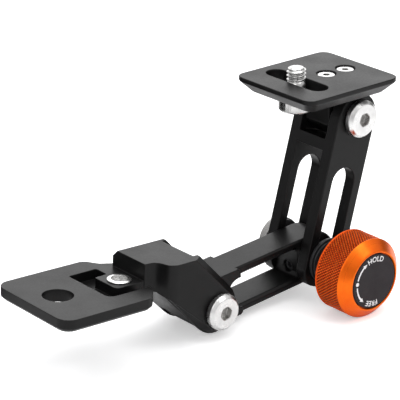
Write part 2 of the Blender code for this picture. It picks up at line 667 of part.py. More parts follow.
def build_camera_screw():
    """Coarse thread crests as rings, plain shank, head under the plate."""
    profile = [(0, 4.3), (2.45, 4.3)]
    for k in range(THREAD_CRESTS):
        z = THREAD_TOP - k * THREAD_PITCH
        profile += [(3.15, z - 0.25), (3.15, z - 0.5), (2.6, z - 0.8), (2.6, z - 0.95)]
    head_top = -HEAD_T - 0.75
    profile += [(3.1, -0.6), (3.1, -3.9), (2.6, -4.1), (2.6, head_top), (5.7, head_top),
                (5.7, -9.5), (5.2, -10.1), (0, -10.1)]
    screw = turned("camera_screw", profile, 32)
    cut_prism(screw, hexagon(4.0), -12, -7.8)
    finish(screw, "steel", CAM_FRAME)
    ring("camera_screw_washer", 5.6, 2.9, (-HEAD_T - 0.6, -HEAD_T - FIT), "nylon", CAM_FRAME, 32)


# ---------------------------------------------------------------- joint axes
def hang(piece, axis):
    """Parent a piece to an axis without moving it."""
    bpy.context.view_layer.update()
    piece.parent = axis
    piece.matrix_parent_inverse = axis.matrix_world.inverted()


def build_joint(name, frame, above, pieces):
    """Empty on a joint's axis; the pieces that turn about it hang from it."""
    axis = bpy.data.objects.new(name, None)
    axis.empty_display_size = 0.01
    PARTS.objects.link(axis)
    axis.matrix_world = frame
    if above:
        hang(axis, bpy.data.objects[above])
    for piece in pieces:
        hang(bpy.data.objects[piece], axis)
    return axis


build_foot()
build_foot_insert()
build_lower_link()
build_grub_screw()
build_pivot("lower_pivot", LOWER_PIVOT, CLEVIS_HALF, CLEVIS_GAP, LOW_ROOT_HALF, head_r=6.0)
build_upper_link()
build_pivot("top_pivot", TOP_PIVOT, UP_HALF, UP_GAP, KN_HALF, head_r=6.25)
build_clamp()
build_knob()
build_top_plate()
build_knuckle()
build_cap_screws()
build_camera_screw()

foot_origin = build_joint("foot_origin", Matrix.Identity(4), None, (
    "base_bracket", "base_thread_insert", "lower_pivot_bolt", "lower_pivot_nut",
    "lower_pivot_washer_near", "lower_pivot_washer_far"))
build_joint("lower_pivot_axis", LOW_FRAME, "foot_origin", (
    "lower_link", "lower_link_grub_screw", "clamp_sleeve"))
build_joint("clamp_axis", CLAMP_FRAME, "lower_pivot_axis", (
    "clamp_bolt", "clamp_washer_near", "clamp_washer_far", "clamp_spring_washer",
    "slot_bushing_near", "slot_bushing_far", "knob_body", "knob_hub",
    "knob_thread_insert", "knob_label_disc"))
build_joint("upper_arm_slide", UP_FRAME, "clamp_axis", (
    "upper_link", "top_pivot_bolt", "top_pivot_nut", "top_pivot_washer_near",
    "top_pivot_washer_far"))
build_joint("top_pivot_axis", side_frame(*TOP_PIVOT), "upper_arm_slide", (
    "top_plate", "top_knuckle", "plate_screw_left", "plate_screw_right"))
build_joint("camera_screw_axis", CAM_FRAME, "top_pivot_axis", (
    "camera_screw", "camera_screw_washer"))

# Everything hangs from the foot: moving it puts the reference point at the world origin
foot_origin.location = (-ORIGIN_X * MM, 0, 0)
bpy.context.view_layer.update()
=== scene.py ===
# Folding swivel bracket: black anodised foot, links and top plate, an orange knurled clamp
# knob and a threaded camera screw. Metres, +Z up. The knob turns about Y and its printed
# face looks towards -Y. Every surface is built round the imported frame.
import json
import math
from functools import cached_property
import bpy
import bmesh
from mathutils import Matrix, Vector


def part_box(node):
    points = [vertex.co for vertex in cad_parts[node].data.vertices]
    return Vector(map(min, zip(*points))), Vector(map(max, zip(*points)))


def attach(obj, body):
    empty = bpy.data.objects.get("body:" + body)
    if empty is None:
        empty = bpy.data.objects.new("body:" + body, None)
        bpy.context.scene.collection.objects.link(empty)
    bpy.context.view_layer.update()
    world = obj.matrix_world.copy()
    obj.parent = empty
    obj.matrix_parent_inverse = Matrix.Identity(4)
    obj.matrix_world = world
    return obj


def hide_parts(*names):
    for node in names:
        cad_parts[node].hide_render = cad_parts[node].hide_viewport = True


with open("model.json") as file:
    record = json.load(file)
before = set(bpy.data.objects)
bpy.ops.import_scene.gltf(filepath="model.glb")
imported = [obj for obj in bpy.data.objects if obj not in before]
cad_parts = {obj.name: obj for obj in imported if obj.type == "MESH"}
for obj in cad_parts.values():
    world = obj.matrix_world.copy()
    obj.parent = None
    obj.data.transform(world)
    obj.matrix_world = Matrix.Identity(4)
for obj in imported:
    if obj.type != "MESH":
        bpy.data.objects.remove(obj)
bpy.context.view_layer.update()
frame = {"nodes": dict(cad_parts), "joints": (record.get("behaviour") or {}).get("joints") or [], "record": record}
bodies = frame["record"]["behaviour"]["bodies"]
node_body = {node: body for body, nodes in bodies.items() for node in nodes}
scene = bpy.context.scene


def joint(name):
    return next(j for j in frame["joints"] if j["name"] == name)


def centre(node):
    low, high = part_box(node)
    return (low + high) / 2


# The view is set out from the foot plate's mounting hole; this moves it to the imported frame
SHIFT = Vector(joint("lower_pivot")["pos_m"]) - Vector((0.0545, -0.0014, -0.0097))


# ------------------------------------------------------------------ materials
class Shader:
    """A material and short ways of adding nodes to it."""

    def __init__(self, name):
        self.material = bpy.data.materials.new(name)
        self.material.use_nodes = True
        self.tree = self.material.node_tree
        self.principled = self.tree.nodes["Principled BSDF"]
        self.normal = None

    @cached_property
    def coord(self):
        return self.tree.nodes.new("ShaderNodeTexCoord").outputs["Object"]

    def put(self, socket, value):
        if isinstance(value, bpy.types.NodeSocket):
            self.tree.links.new(value, socket)
        else:
            socket.default_value = (*value, 1) if socket.type == "RGBA" else value

    def add(self, kind, inputs):
        """New node; inputs are keyed by socket name or index."""
        node = self.tree.nodes.new("ShaderNode" + kind)
        for key, value in inputs.items():
            self.put(node.inputs[key], value)
        return node

    def noise(self, scale, detail=3.0, rough=0.55, vector=None):
        return self.add("TexNoise", {"Vector": vector or self.coord, "Scale": scale,
                                     "Detail": detail, "Roughness": rough}).outputs["Fac"]

    def math(self, operation, a, b=0.0, clamp=False):
        node = self.add("Math", {0: a, 1: b})
        node.operation = operation
        node.use_clamp = clamp
        return node.outputs[0]

    def times(self, a, b):
        return self.math("MULTIPLY", a, b)

    def vector_math(self, operation, inputs):
        node = self.add("VectorMath", inputs)
        node.operation = operation
        return node.outputs["Value"]

    def span(self, value, between=(0.3, 0.7), to=(0.0, 1.0)):
        """Map the range `between` onto the range `to`."""
        return self.add("MapRange", dict(enumerate((value, *between, *to)))).outputs[0]

    def mix(self, factor, a, b):
        node = self.tree.nodes.new("ShaderNodeMix")
        node.data_type = "RGBA"
        for index, value in ((0, factor), (6, a), (7, b)):
            self.put(node.inputs[index], value)
        return node.outputs[2]

    def mapped(self, **inputs):
        """Object coordinates through a mapping with the given Location or Scale."""
        return self.add("Mapping", {"Vector": self.coord, **inputs}).outputs[0]

    def centred_on(self, point):
        return self.mapped(Location=tuple(-c for c in point))

    def separate(self, vector):
        return self.add("SeparateXYZ", {0: vector}).outputs

    def combine(self, *values):
        return self.add("CombineXYZ", dict(enumerate(values))).outputs[0]

    def radius(self, a, b):
        squares = [self.math("POWER", side, 2.0) for side in (a, b)]
        return self.math("SQRT", self.math("ADD", *squares))

    def bevelled(self, radius):
        node = self.add("Bevel", {"Radius": radius})
        node.samples = 6
        return node.outputs[0]

    def edges(self, radius):
        """Above 0 along edges, 0 on flats."""
        normal = self.tree.nodes.new("ShaderNodeNewGeometry").outputs["Normal"]
        facing = self.vector_math("DOT_PRODUCT", {0: self.bevelled(radius), 1: normal})
        return self.math("SUBTRACT", 1.0, facing, clamp=True)

    def round_edges(self, radius):
        """Soften the shading of sharp edges; comes before any bump."""
        self.normal = self.bevelled(radius)

    def bump(self, height, strength, distance):
        """Lay a bump over the ones before it, coarsest first."""
        inputs = {"Strength": strength, "Distance": distance, "Height": height}
        if self.normal is not None:
            inputs["Normal"] = self.normal
        self.normal = self.add("Bump", inputs).outputs[0]

    def done(self, **inputs):
        """Set the principled inputs, with _ for a space in their names."""
        if self.normal is not None:
            inputs["Normal"] = self.normal
        for key, value in inputs.items():
            self.put(self.principled.inputs[key.replace("_", " ")], value)
        return self.material


def black_anodised(name, tone=1.0, rough=0.36, sheen=0.22):
    """Bead-blasted, black anodised: fine matt grain, edges brighter from wear and a painted highlight, faint
    cloudiness.
    """
    s = Shader(name)
    cloud = s.noise(scale=90, detail=4, rough=0.6)
    grain = s.noise(scale=5200, detail=2, rough=0.6)
    pits = s.noise(scale=1500, detail=3, rough=0.7)
    patches = s.span(s.noise(scale=420), between=(0.38, 0.62), to=(0.35, 1.0))
    # Patchy edge mask: the lighter colour it gives is partly wear, partly a painted edge highlight.
    wear_and_highlight = s.times(s.span(s.edges(radius=0.00035), between=(0.01, 0.22)), patches)
    dark = tuple(0.003 * tone * c for c in (1.04, 1.0, 1.02))
    light = tuple(0.006 * tone * c for c in (1.03, 1.0, 1.01))
    colour = s.mix(s.span(cloud), dark, light)
    # Edges lightened: wear and a painted highlight.
    colour = s.mix(s.times(wear_and_highlight, 0.5), colour, (0.06, 0.058, 0.058))
    roughness = s.math("ADD", s.span(cloud, to=(rough - 0.05, rough + 0.05)),
                       s.span(pits, between=(0.35, 0.65), to=(-0.03, 0.03)))
    roughness = s.math("SUBTRACT", roughness, s.times(wear_and_highlight, 0.1))
    s.round_edges(0.00035)
    s.bump(pits, strength=0.12, distance=0.00006)
    s.bump(grain, strength=0.22, distance=0.00003)
    return s.done(Base_Color=colour, Roughness=roughness, Metallic=0.0, IOR=1.5,
                  Specular_IOR_Level=sheen)


def steel(name, base=(0.86, 0.855, 0.845), rough=0.2, metal=1.0, centre_at=None,
          socket=0.0, across=("X", "Z")):
    """Turned metal: fine lines and small smears, with the lines in rings round centre_at.

    Inside the radius `socket`, measured in the plane `across`, the colour is darker: painted shade in the hex
    socket."""
    s = Shader(name)
    smear = s.noise(scale=260, detail=4, rough=0.6)
    if centre_at is not None:
        local = s.centred_on(centre_at)
        rings = s.combine(s.vector_math("LENGTH", {0: local}))
        lines = s.noise(scale=9000, detail=2, rough=0.6, vector=rings)
    else:
        stretched = s.mapped(Scale=(4000, 4000, 9000))
        lines = s.noise(scale=1.0, detail=2, rough=0.6, vector=stretched)
    # Painted highlight: the edges are lightened towards a brighter steel.
    edge = s.span(s.edges(radius=0.0002), between=(0.02, 0.3))
    smeared = tuple(c * 0.82 for c in base)
    edge_highlight_colour = tuple(min(1, c * 1.2 + 0.03) for c in base)
    colour = s.mix(s.span(smear, between=(0.35, 0.7)), base, smeared)
    colour = s.mix(s.times(edge, 0.6), colour, edge_highlight_colour)
    roughness = s.math("ADD", s.span(smear, to=(rough - 0.05, rough + 0.08)),
                       s.span(lines, to=(-0.02, 0.03)))
    # Painted shade: the colour darkens inside the hex socket.
    if socket:
        place = s.separate(local)
        radius = s.radius(*(place[axis] for axis in across))
        socket_shade = s.span(radius, between=(socket * 0.985, socket), to=(1.0, 0.0))
        colour = s.mix(s.times(socket_shade, 0.40), colour, (0.10, 0.085, 0.07))
    s.round_edges(0.00015)
    s.bump(lines, strength=0.1, distance=0.00003)
    return s.done(Base_Color=colour, Roughness=roughness, Metallic=metal)


def orange_anodised(name):
    """Orange anodised: lathe lines, painted shade over the knurl and darkest in its valleys, and edges brighter
    from wear and a painted highlight.
    """
    s = Shader(name)
    middle = centre("knob_body")
    place = s.separate(s.centred_on(middle))
    radius = s.radius(place["X"], place["Z"])
    lines = s.noise(scale=7000, detail=2, rough=0.6, vector=s.combine(radius, place["Y"]))
    cloud = s.noise(scale=160)
    patches = s.span(s.noise(scale=600, detail=2), between=(0.35, 0.6), to=(0.3, 1.0))
    wear_and_highlight = s.times(s.span(s.edges(radius=0.0003), between=(0.02, 0.25)), patches)
    valley = s.span(radius, between=(0.01292, 0.01334), to=(1.0, 0.0))
    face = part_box("knob_body")[0].y - middle.y
    knurled = s.span(place["Y"], between=(face + 0.0036, face + 0.0038))
    colour = s.mix(s.span(cloud), (0.93, 0.125, 0.002), (1.0, 0.175, 0.005))
    # Painted shade: the knurled band is darker, and its valleys darker still.
    colour = s.mix(s.times(knurled, 0.6), colour, (0.82, 0.065, 0.0012))
    valley_shade = s.times(s.times(valley, knurled), 0.92)
    colour = s.mix(valley_shade, colour, (0.20, 0.008, 0.0004))
    # Edges lightened: wear and a painted highlight.
    colour = s.mix(s.times(wear_and_highlight, 0.45), colour, (1.0, 0.36, 0.05))
    s.round_edges(0.0002)
    s.bump(lines, strength=0.08, distance=0.00003)
    return s.done(Base_Color=colour, Roughness=s.span(lines, to=(0.27, 0.36)),
                  Metallic=0.78, Specular_IOR_Level=0.5)


def nylon(name):
    s = Shader(name)
    grain = s.noise(scale=2500)
    dark, light = (tuple(c * tone for c in (0.05, 0.05, 0.053)) for tone in (0.85, 1.15))
    s.bump(grain, strength=0.15, distance=0.00003)
    return s.done(Base_Color=s.mix(s.span(grain), dark, light),
                  Roughness=s.span(grain, to=(0.5, 0.65)))


def label_black(name):
    """Matt black film with a fine leathery grain."""
    s = Shader(name)
    grain = s.noise(scale=3800, rough=0.6)
    cloud = s.span(s.noise(scale=240))
    s.bump(grain, strength=0.3, distance=0.00003)
    return s.done(Base_Color=s.mix(cloud, (0.018, 0.0135, 0.016), (0.025, 0.020, 0.0225)),
                  Roughness=s.span(grain, to=(0.5, 0.62)), Specular_IOR_Level=0.22)


def print_white(name):
    s = Shader(name)
    grain = s.noise(scale=3000, rough=0.6)
    blend = s.span(grain, between=(0.35, 0.65))
    s.bump(grain, strength=0.2, distance=0.00001)
    return s.done(Base_Color=s.mix(blend, (0.80, 0.77, 0.78), (0.90, 0.885, 0.89)),
                  Roughness=0.45)


# ------------------------------------------------------------------ shared building steps
def add_object(name, data):
    ob = bpy.data.objects.new(name, data)
    scene.collection.objects.link(ob)
    return ob


def new_piece(name, mesh, material, body):
    ob = add_object(name, mesh)
    mesh.materials.clear()
    mesh.materials.append(material)
    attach(ob, body)
    return ob


def finish_mesh(bm, name):
    mesh = bpy.data.meshes.new(name)
    bm.to_mesh(mesh)
    bm.free()
    return mesh


def bridge(bm, ring, other, smooth=False):
    """Quads between two closed rings of as many vertices."""
    for i in range(len(ring)):
        k = (i + 1) % len(ring)
        bm.faces.new((ring[i], ring[k], other[k], other[i])).smooth = smooth


def axes_matrix(x_axis, y_axis, z_axis, origin):
    turn = Matrix((x_axis, y_axis, z_axis)).transposed().to_4x4()
    return Matrix.Translation(origin) @ turn


def aimed(place, target):
    """Placement at `place` with local -Z towards `target`."""
    turn = (target - place).to_track_quat("-Z", "Y")
    return Matrix.Translation(place) @ turn.to_matrix().to_4x4()


def tooth(t):
    """Triangle wave: 1 at whole numbers, 0 half way between."""
    return abs((t % 1.0) - 0.5) * 2.0


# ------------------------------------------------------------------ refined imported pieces
CORNER_ANGLE = math.radians(32.0)       # sharper than this is shaded sharp and broken
FLAT_ANGLE = math.radians(0.6)          # faces closer than this are merged


def refined(node, material, edge_break=0.0):
    """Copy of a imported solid; with edge_break its flats are merged and its edges bevelled."""
    bm = bmesh.new()
    bm.from_mesh(frame["nodes"][node].data)
    bmesh.ops.remove_doubles(bm, verts=bm.verts, dist=2e-6)
    if edge_break:
        bmesh.ops.dissolve_limit(bm, angle_limit=FLAT_ANGLE, verts=bm.verts, edges=bm.edges)
    for face in bm.faces:
        face.smooth = True
    mesh = finish_mesh(bm, node + "_mesh")
    for polygon in mesh.polygons:
        polygon.material_index = 0
    if "custom_normal" in mesh.attributes:
        mesh.attributes.remove(mesh.attributes["custom_normal"])
    mesh.set_sharp_from_angle(angle=CORNER_ANGLE)
    ob = new_piece(node + "_finished", mesh, material, node_body[node])
    if edge_break:
        bevel = ob.modifiers.new("edge_break", "BEVEL")
        bevel.width = edge_break
        bevel.segments = 2
        bevel.limit_method = "ANGLE"
        bevel.angle_limit = CORNER_ANGLE
        bevel.use_clamp_overlap = False
        weighted = ob.modifiers.new("flat_faces", "WEIGHTED_NORMAL")
        weighted.mode = "FACE_AREA"
        weighted.weight = 80
        weighted.keep_sharp = True
    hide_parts(node)


def plated_piece(node, edge_break=0.0, **look):
    material = steel("plated_steel_" + node, centre_at=centre(node), **look)
    refined(node, material, edge_break)


def build_packed_pieces():
    black = black_anodised("black_anodised_body")
    # Lighter copy for the top plate: painted light, standing in for the brighter top it shows under the overhead
    # light.
    black_plate_lit = black_anodised("black_anodised_plate", tone=1.3, rough=0.38)
    black_hub = black_anodised("black_anodised_hub", tone=0.6, rough=0.45, sheen=0.35)
    dark = steel("black_oxide_steel", base=(0.055, 0.055, 0.058), rough=0.38, metal=0.6)
    washer_nylon = nylon("nylon_washer")
    brass = steel("turned_brass", base=(0.66, 0.46, 0.17), rough=0.28)

    refined("base_bracket", black)
    for node in ("lower_link", "upper_link", "top_knuckle"):
        refined(node, black, edge_break=0.0002)
    refined("top_plate", black_plate_lit, edge_break=0.0002)
    refined("knob_hub", black_hub, edge_break=0.0002)

    for node in ("lower_pivot_bolt", "top_pivot_bolt"):
        plated_piece(node, edge_break=0.00014, rough=0.27, socket=0.00236)
    for node in ("lower_pivot_nut", "top_pivot_nut"):
        plated_piece(node, edge_break=0.00014)
    plated_piece("clamp_bolt", edge_break=0.00014, base=(0.50, 0.49, 0.48), rough=0.24,
                 socket=0.0029)
    plated_piece("base_thread_insert", rough=0.24)
    for node in ("plate_screw_left", "plate_screw_right"):
        plated_piece(node, socket=0.00122, across=("X", "Y"))

    for node in ("lower_link_grub_screw", "slot_bushing_near", "slot_bushing_far",
                 "clamp_washer_near", "clamp_washer_far", "clamp_spring_washer"):
        refined(node, dark, edge_break=0.0001)
    for node in ("clamp_sleeve", "knob_thread_insert"):
        refined(node, brass, edge_break=0.0001)
    for node in ("lower_pivot_washer_near", "lower_pivot_washer_far",
                 "top_pivot_washer_near", "top_pivot_washer_far", "camera_screw_washer"):
        refined(node, washer_nylon, edge_break=0.00005)


# ------------------------------------------------------------------ knob, diamond knurled
knob_low, knob_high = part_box("knob_body")
KNOB_RADIUS = (knob_high.z - knob_low.z) / 2
KNOB_CENTRE = Vector(((knob_low.x + knob_high.x) / 2, 0, (knob_low.z + knob_high.z) / 2))
KNOB_FRONT = knob_low.y
KNOB_BACK = knob_high.y
DIAMONDS = 82                           # round the grip
DIAMOND_STEPS = 8                       # samples across one diamond
DIAMOND_LENGTH = 0.00135                # along Y
KNURL_FRONT = KNOB_FRONT + 0.0034
KNURL_BACK = KNOB_BACK - 0.0011
KNURL_DEPTH = 0.00055
KNURL_FADE = 0.0003                     # run-out at each end
CONE_STEPS = 11

# (radius, distance behind the front face): recess for the disc, then the rim round it
FRONT_RINGS = [
    (0.0052, 0.0014), (0.0096, 0.0014), (0.0096, 0.00012), (0.00965, 0.00003),
    (0.00975, 0.0), (0.0099, 0.0), (0.01006, 0.00004), (0.0102, 0.00013),
]
CONE_END = (0.01325, 0.00308)           # same columns
SHOULDER_RINGS = [(KNOB_RADIUS - 0.00006, 0.00322), (KNOB_RADIUS, 0.0033)]
# (radius, distance in front of the back face): chamfer, then the stepped bore
BACK_RINGS = [
    (KNOB_RADIUS, 0.0009), (KNOB_RADIUS - 0.00012, 0.00072),
    (KNOB_RADIUS - 0.0007, 0.00012), (KNOB_RADIUS - 0.00085, 0.0),
    (0.0068, 0.0), (0.00665, 0.00015), (0.00665, 0.0077), (0.0033, 0.0077),
    (0.0033, 0.012), (0.0052, 0.012),
]


def knob_rings():
    """(radius, y) from the recess out over the grip and back in through the bore."""
    front = list(FRONT_RINGS)
    start_radius, start_depth = front[-1]
    for k in range(1, CONE_STEPS + 1):
        t = k / CONE_STEPS
        front.append((start_radius + (CONE_END[0] - start_radius) * t,
                      start_depth + (CONE_END[1] - start_depth) * t))
    rings = [(radius, KNOB_FRONT + depth) for radius, depth in front + SHOULDER_RINGS]
    diamond_width = math.tau * KNOB_RADIUS / DIAMONDS
    length = KNURL_BACK - KNURL_FRONT
    count = int(round(length / (diamond_width / DIAMOND_STEPS)))
    rings += [(KNOB_RADIUS, KNURL_FRONT + length * k / count) for k in range(count + 1)]
    return rings + [(radius, KNOB_BACK - depth) for radius, depth in BACK_RINGS]


def knurled_radius(angle, radius, y):
    """Ring radius, cut by two crossing families of grooves along the grip."""
    if radius < KNOB_RADIUS - 1e-5 or y > KNURL_BACK or y < KNURL_FRONT:
        return radius
    u = angle * DIAMONDS / math.tau
    v = (y - KNURL_FRONT) / DIAMOND_LENGTH
    height = min(tooth(u + v), tooth(u - v))
    fade = min(1.0, (KNURL_BACK - y) / KNURL_FADE, (y - KNURL_FRONT) / KNURL_FADE)
    crest = min(1.0, height * 1.15)     # slightly flattened tops
    return KNOB_RADIUS - KNURL_DEPTH * fade * (1.0 - crest)


def build_knob():
    bm = bmesh.new()
    steps = DIAMONDS * DIAMOND_STEPS
    rows = []
    for radius, y in knob_rings():
        row = []
        for i in range(steps):
            angle = math.tau * i / steps
            cut = knurled_radius(angle, radius, y)
            row.append(bm.verts.new((KNOB_CENTRE.x + cut * math.cos(angle), y,
                                     KNOB_CENTRE.z + cut * math.sin(angle))))
        rows.append(row)
    for row, following in zip(rows, rows[1:] + rows[:1]):
        bridge(bm, row, following, smooth=True)
    bmesh.ops.recalc_face_normals(bm, faces=bm.faces)
    mesh = finish_mesh(bm, "knob_grip_mesh")
    mesh.set_sharp_from_angle(angle=math.radians(60))
    knob = new_piece("knob_body_knurled", mesh, orange_anodised("orange_anodised_knob"),
                     node_body["knob_body"])
    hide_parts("knob_body")


# ------------------------------------------------------------------ printed face disc
FACE_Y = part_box("knob_label_disc")[0].y
PRINT_GAP = 0.000012                    # clear of the disc
PRINT_THICKNESS = 0.000018
MARK_RADIUS = 0.00762                   # circle the arrows follow
DOT_RADIUS = 0.00068
DOT_RISE = 0.0005                       # dot's centre above the disc's
DOT_STEPS = 24
ARROW_WIDTHS = (0.00052, 0.00062)       # shaft at its start and at the head
ARROW_HEAD_WIDTH = 0.00145
ARROW_HEAD_ANGLE = math.radians(13)
ARROW_STEPS = 16
WORD_SIZE = 0.0025
WORD_RADIUS = 0.0068                    # letters' baseline


def face_point(radius, angle, lift):
    return (KNOB_CENTRE.x + radius * math.cos(angle), FACE_Y - PRINT_GAP - lift,
            KNOB_CENTRE.z + radius * math.sin(angle))


def print_piece(name, mesh, white):
    new_piece(name, mesh, white, node_body["knob_label_disc"])


def face_mark(name, outline, white):
    """Flat print from an outline of (radius, angle)."""
    bm = bmesh.new()
    top = [bm.verts.new(face_point(r, a, PRINT_THICKNESS)) for r, a in outline]
    bottom = [bm.verts.new(face_point(r, a, 0.0)) for r, a in outline]
    bm.faces.new(top)
    bm.faces.new(bottom[::-1])
    bridge(bm, top, bottom)
    bmesh.ops.recalc_face_normals(bm, faces=bm.faces)
    print_piece(name, finish_mesh(bm, name), white)


def dot_outline():
    outline = []
    for i in range(DOT_STEPS):
        t = math.tau * i / DOT_STEPS
        x = -MARK_RADIUS + DOT_RADIUS * math.cos(t)
        z = DOT_RISE + DOT_RADIUS * math.sin(t)
        outline.append((math.hypot(x, z), math.atan2(z, x)))
    return outline


def arrow_outline(start_degrees, end_degrees):
    """Curved arrow: a band that widens a little, then a slim head."""
    start, end = math.radians(start_degrees), math.radians(end_degrees)
    turn = 1 if end > start else -1
    neck = end - turn * ARROW_HEAD_ANGLE
    barb = neck + turn * ARROW_HEAD_ANGLE * 0.12
    narrow, wide = ARROW_WIDTHS

    def shaft(side):
        return [(MARK_RADIUS + side * (narrow + (wide - narrow) * i / ARROW_STEPS) / 2,
                 start + (neck - start) * i / ARROW_STEPS) for i in range(ARROW_STEPS + 1)]

    head = [(MARK_RADIUS + ARROW_HEAD_WIDTH / 2, barb), (MARK_RADIUS, end),
            (MARK_RADIUS - ARROW_HEAD_WIDTH / 2, barb)]
    return shaft(1) + head + shaft(-1)[::-1]


def face_word(name, word, middle, white):
    """Word bent round the angle `middle`, the letters' feet towards the centre."""
    curve = bpy.data.curves.new(name, "FONT")
    curve.body = word
    curve.size = WORD_SIZE
    curve.align_x = "CENTER"
    curve.space_character = 1.06
    curve.offset = WORD_SIZE * 0.022    # thickens the strokes
    curve.resolution_u = 4
    text = add_object(name + "_outline", curve)
    bpy.context.view_layer.update()
    evaluated = text.evaluated_get(bpy.context.evaluated_depsgraph_get())
    mesh = bpy.data.meshes.new_from_object(evaluated)
    bpy.data.objects.remove(text, do_unlink=True)
    bpy.data.curves.remove(curve)
    bm = bmesh.new()
    bm.from_mesh(mesh)
    bmesh.ops.remove_doubles(bm, verts=bm.verts, dist=1e-7)
    raised = bmesh.ops.extrude_face_region(bm, geom=bm.faces[:])["geom"]
    for item in raised:
        if isinstance(item, bmesh.types.BMVert):
            item.co.z += PRINT_THICKNESS
    bend_radius = WORD_RADIUS + WORD_SIZE * 0.35    # about the letters' mid height
    for vertex in bm.verts:
        x, y, z = vertex.co
        vertex.co = face_point(WORD_RADIUS + y, middle - x / bend_radius, z)
    bmesh.ops.recalc_face_normals(bm, faces=bm.faces)
    bm.to_mesh(mesh)
    bm.free()
    mesh.name = name
    print_piece(name, mesh, white)


def build_face_disc():
    refined("knob_label_disc", label_black("face_disc_black"), edge_break=0.00008)
    white = print_white("face_print_white")
    face_mark("face_mark_dot", dot_outline(), white)
    face_mark("face_mark_arrow_tighten", arrow_outline(167.5, 119.5), white)
    face_mark("face_mark_arrow_loosen", arrow_outline(185.5, 234.5), white)
    face_word("face_word_hold", "HOLD", math.radians(90.0), white)
    face_word("face_word_free", "FREE", math.radians(-95.0), white)


# ------------------------------------------------------------------ camera screw
# Built with its axis on local Z, the thread towards +Z and the knurled head towards -Z
SCREW_STEPS = 96                        # round the axis
SCREW_TOP = 0.0043
THREAD_PITCH = 0.00127
THREAD_ROOT = 0.00252
THREAD_DEPTH = 0.00064
HEAD_RADIUS = 0.0057
HEAD_TEETH = 32
HEAD_TOOTH_DEPTH = 0.00009
HEAD_END = -0.0101
SOCKET_FLATS = 0.0040                   # across the hexagon
SOCKET_WALL_END = -0.0078
SOCKET_POINT = -0.0076                  # middle of the socket's floor


def thread_radius(angle, z):
    """Helical thread with flat crests and roots, fading out at both ends."""
    turn = ((z - 0.0004) / THREAD_PITCH - angle / math.tau) % 1.0
    height = max(0.0, min(1.0, (0.38 - abs(turn - 0.5)) / 0.32))
    fade = max(0.0, min(1.0, (SCREW_TOP - 0.0002 - z) / 0.0005, (z + 0.0003) / 0.0005))
    return THREAD_ROOT + THREAD_DEPTH * height * fade


def head_radius(angle, z):
    """Knurled rim, its grooves fading out at both ends."""
    fade = max(0.0, min(1.0, (-0.0060 - z) / 0.0003, (z + 0.0093) / 0.0003))
    groove = 1 - tooth(angle * HEAD_TEETH / math.tau)
    return HEAD_RADIUS - HEAD_TOOTH_DEPTH * groove * fade


# (radius, or a function of angle and z that gives it; z) from the tip to the head's end
SCREW_PROFILE = [
    (1e-6, SCREW_TOP), (0.0020, SCREW_TOP), (0.00225, SCREW_TOP - 0.00006),
    (THREAD_ROOT, SCREW_TOP - 0.0003),
    *((thread_radius, SCREW_TOP - 0.00034 - k * 0.00007) for k in range(58)),
    (0.0026, -0.00015), (0.0031, -0.0006), (0.0031, -0.0039), (0.0026, -0.0041),
    (0.0026, -0.00575), (0.00552, -0.00575), (HEAD_RADIUS, -0.0059),
    *((head_radius, -0.0060 - k * 0.0001) for k in range(34)),
    (HEAD_RADIUS, -0.0094), (0.0054, -0.0099), (0.0051, HEAD_END),
]


def socket_radius(angle, z):
    sixth = math.pi / 3
    return SOCKET_FLATS / 2 / math.cos((angle + sixth / 2) % sixth - sixth / 2)


def screw_ring(bm, radius, z):
    row = []
    for i in range(SCREW_STEPS):
        angle = math.tau * i / SCREW_STEPS
        r = radius(angle, z) if callable(radius) else radius
        row.append(bm.verts.new((r * math.cos(angle), r * math.sin(angle), z)))
    return row


def build_camera_screw():
    bm = bmesh.new()
    rows = [screw_ring(bm, radius, z) for radius, z in SCREW_PROFILE]
    for row, following in zip(rows, rows[1:]):
        bridge(bm, row, following, smooth=True)
    # Hexagon socket in the flat end of the head
    end = rows[-1]
    mouth = screw_ring(bm, socket_radius, HEAD_END)
    foot = screw_ring(bm, socket_radius, SOCKET_WALL_END)
    point = bm.verts.new((0, 0, SOCKET_POINT))
    for i in range(SCREW_STEPS):
        k = (i + 1) % SCREW_STEPS
        bm.faces.new((end[i], end[k], mouth[k], mouth[i]))
        bm.faces.new((mouth[i], mouth[k], foot[k], foot[i]))
        bm.faces.new((foot[i], foot[k], point))
    bmesh.ops.remove_doubles(bm, verts=bm.verts, dist=2e-6)
    bmesh.ops.recalc_face_normals(bm, faces=bm.faces)
    # The thread's root takes the second material, darker as painted shade in the groove
    for face in bm.faces:
        x, y, z = face.calc_center_median()
        if -0.0012 < z < SCREW_TOP - 0.00035 and math.hypot(x, y) < 0.00285:
            face.material_index = 1
    spin = joint("screw_spin")
    axis = Vector(spin["axis"]).normalized()
    side = Vector((0, 1, 0)).cross(axis).normalized()
    placement = axes_matrix(side, axis.cross(side), axis, Vector(spin["pos_m"]))
    bmesh.ops.transform(bm, matrix=placement, verts=bm.verts)
    mesh = finish_mesh(bm, "camera_screw_mesh")
    mesh.set_sharp_from_angle(angle=math.radians(50))
    middle = centre("camera_screw")
    plated = steel("plated_steel_camera_screw", base=(0.70, 0.695, 0.685), rough=0.22,
                   centre_at=middle)
    screw = new_piece("camera_screw_threaded", mesh, plated,
                      node_body["camera_screw"])
    mesh.materials.append(steel("thread_root_shade_steel", base=(0.20, 0.19, 0.18), rough=0.3,
                                centre_at=middle))
    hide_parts("camera_screw")


# ------------------------------------------------------------------ floor, light, camera
FLOOR_NORMAL = Vector((-0.05234, 0, 0.99863)).normalized()
FLOOR_POINT = Vector((0.1017, 0, -0.01662)) + SHIFT
LIGHT_TARGET = Vector((0.07, 0.0, 0.01)) + SHIFT
